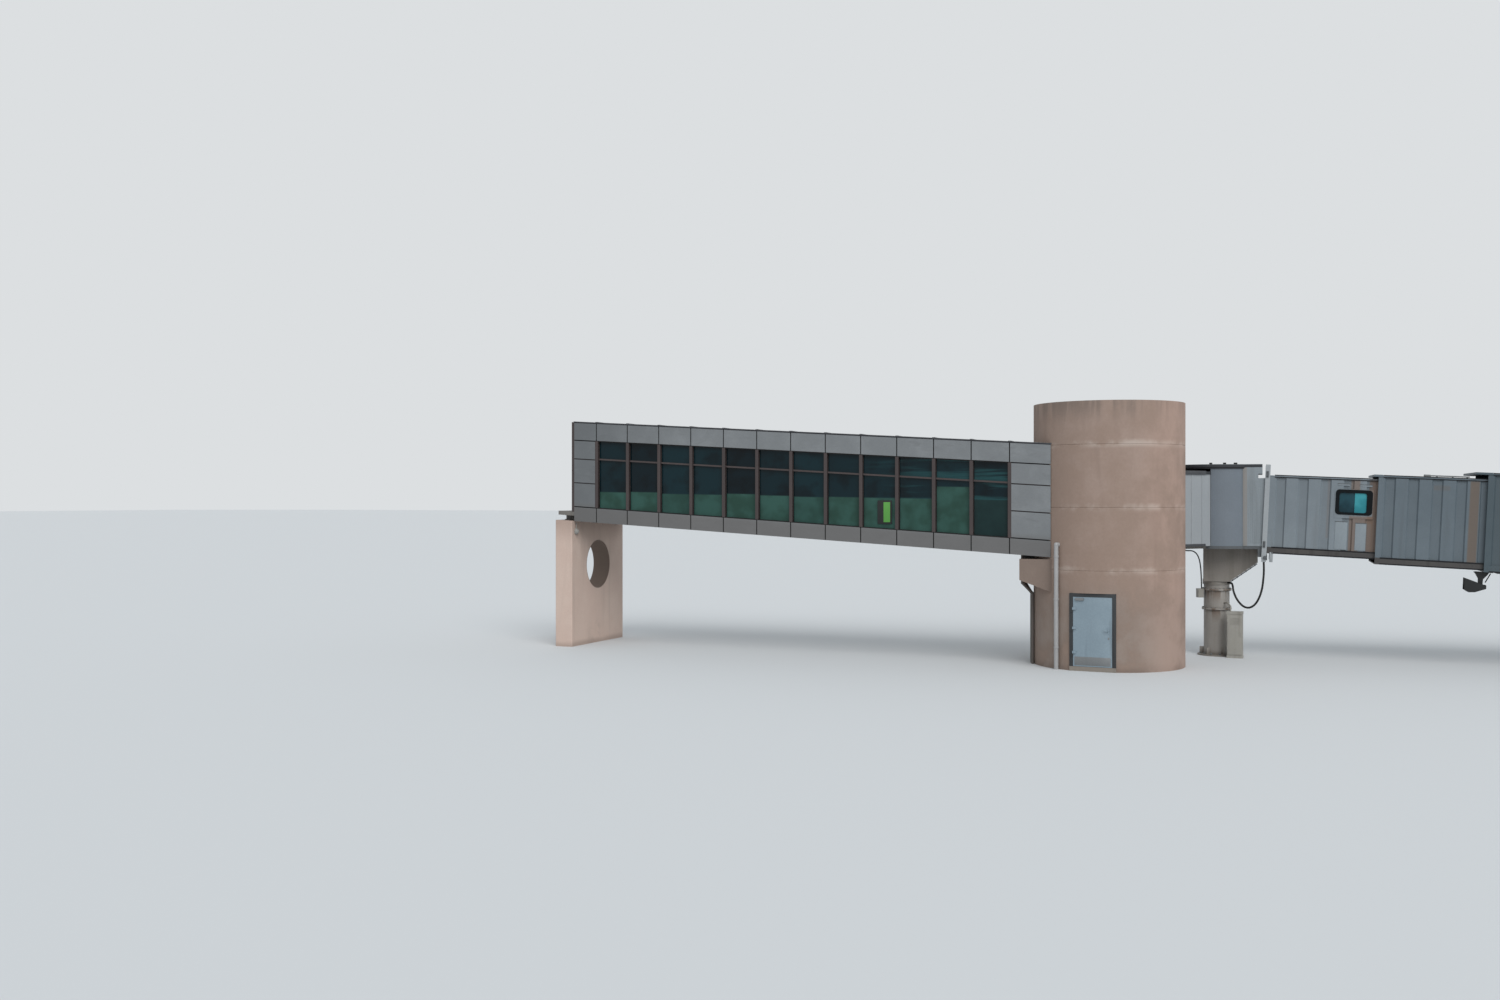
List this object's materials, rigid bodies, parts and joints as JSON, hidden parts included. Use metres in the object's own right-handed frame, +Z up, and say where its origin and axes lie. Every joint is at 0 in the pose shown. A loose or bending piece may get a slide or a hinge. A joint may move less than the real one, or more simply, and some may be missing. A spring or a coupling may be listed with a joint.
{
  "type": "jet bridge scale model at 1:2",
  "caption": "Passenger boarding bridge: glazed link on a pylon, round tower, rotunda on a column and telescoping tunnels to a cab, at half scale",
  "frame": {"origin": "centre of the tower's foot, on the ground", "axes": "+X along the glazed link away from the terminal, +Y to the far side, +Z up"},
  "size_m": [22.0354, 4.7424, 4.425],
  "materials": {
    "concrete": "weathered cast concrete",
    "painted_concrete": "weathered painted concrete",
    "dark_steel": "painted structural steel",
    "deck": "concrete floor on steel deck",
    "roofing": "dark roof sheet and flashing",
    "mullion": "brown powder-coated aluminium",
    "tinted_glass": "dark tinted glazing",
    "cladding": "grey composite cladding panel",
    "rubber_pad": "elastomer bearing",
    "door_paint": "light blue-grey painted steel",
    "plastic_pipe": "grey plastic drain pipe",
    "painted_pipe": "beige painted pipe",
    "corridor_panel": "pale grey wall panel",
    "column_paint": "beige painted steel",
    "cabinet_paint": "pale grey painted sheet steel",
    "curtain_slats": "grey-blue slats",
    "cable": "black rubber cable",
    "tunnel_paint_a": "pale grey-green painted corrugated steel",
    "tunnel_paint_b": "grey-blue painted corrugated steel",
    "tunnel_paint_c": "dark grey-blue painted corrugated steel",
    "white_paint": "off-white painted steel",
    "window_rubber": "tinted window in a black rubber frame",
    "tyre": "solid rubber tyre",
    "canopy_fabric": "black coated canopy fabric"
  },
  "bodies": {
    "root": {"pylon_wall": "concrete", "link_beams": "dark_steel", "link_deck": "deck", "link_roof": "roofing", "link_wall_frames": "mullion", "link_glass": "tinted_glass", "link_panels": "cladding", "link_end_frame": "mullion", "corbel": "painted_concrete", "bearing_pads": "rubber_pad", "tower_base_wall_left": "painted_concrete", "tower_base_wall_right": "painted_concrete", "tower_door_lintel": "painted_concrete", "tower_upper_wall_left": "painted_concrete", "tower_upper_wall_right": "painted_concrete", "tower_upper_wall_back": "painted_concrete", "tower_lintels": "painted_concrete", "tower_slabs": "concrete", "tower_door_frame": "dark_steel", "drain_pipe": "plastic_pipe", "conduits": "painted_pipe", "corridor_floor": "deck", "corridor_walls": "corridor_panel", "corridor_roof": "roofing", "column": "column_paint", "electrical_cabinets": "cabinet_paint", "curtain_near": "curtain_slats", "curtain_far": "curtain_slats", "corridor_cable": "cable"},
    "door": {"tower_door": "door_paint"},
    "rotunda": {"slewing_head": "column_paint", "hinge_beam": "dark_steel", "rotunda_floor": "dark_steel", "rotunda_roof": "roofing", "vestibule_walls": "corridor_panel", "vestibule_roof": "corridor_panel", "power_cable": "cable"},
    "tunnel_a": {"tunnel_a_floor": "dark_steel", "tunnel_a_walls": "tunnel_paint_a", "tunnel_a_roof": "tunnel_paint_a", "tunnel_a_posts": "white_paint", "tunnel_a_windows": "window_rubber"},
    "tunnel_b": {"tunnel_b_floor": "dark_steel", "tunnel_b_walls": "tunnel_paint_b", "tunnel_b_roof": "tunnel_paint_b"},
    "tunnel_c": {"tunnel_c_floor": "dark_steel", "tunnel_c_walls": "tunnel_paint_c", "tunnel_c_roof": "tunnel_paint_c", "lift_columns": "white_paint", "cab_floor": "dark_steel", "cab_walls": "tunnel_paint_c", "cab_roof": "tunnel_paint_c", "cab_canopy": "canopy_fabric"},
    "lift": {"lift_legs": "white_paint", "drive_wheels": "tyre"}
  },
  "joints": [
    {"name": "rotunda_swing", "type": "hinge", "parent": "root", "child": "rotunda", "pos_m": [1.60171, 2.20457, 1.28], "axis": [0, 0, 1], "range_deg": [-38, 137], "deforming": ["curtain_near", "curtain_far"]},
    {"name": "tunnel_pitch", "type": "hinge", "parent": "rotunda", "child": "tunnel_a", "pos_m": [2.421, 2.23891, 1.79], "axis": [0.0419, -0.9991, 0], "range_deg": [-2.1, 7.5]},
    {"name": "tunnel_b_slide", "type": "slide", "parent": "tunnel_a", "child": "tunnel_b", "axis": [0.998, 0.0418, -0.0471], "range_m": [-1.35, 1.5]},
    {"name": "tunnel_c_slide", "type": "slide", "parent": "tunnel_b", "child": "tunnel_c", "axis": [0.998, 0.0418, -0.0471], "range_m": [-1.35, 1.5]},
    {"name": "lift_slide", "type": "slide", "parent": "tunnel_c", "child": "lift", "axis": [-0.0471, -0.002, -0.9989], "range_m": [-0.2263, 0.8079]},
    {"name": "tower_door", "type": "hinge", "parent": "root", "child": "door", "pos_m": [-0.4068, -1.20857, 0.7], "axis": [0, 0, -1], "range_deg": [0, 90]}
  ],
  "couplings": [
    {"joint": "tunnel_c_slide", "follows": "tunnel_b_slide", "ratio": 1},
    {"joint": "lift_slide", "follows": "tunnel_pitch", "m_per_rad": 6.17}
  ]
}
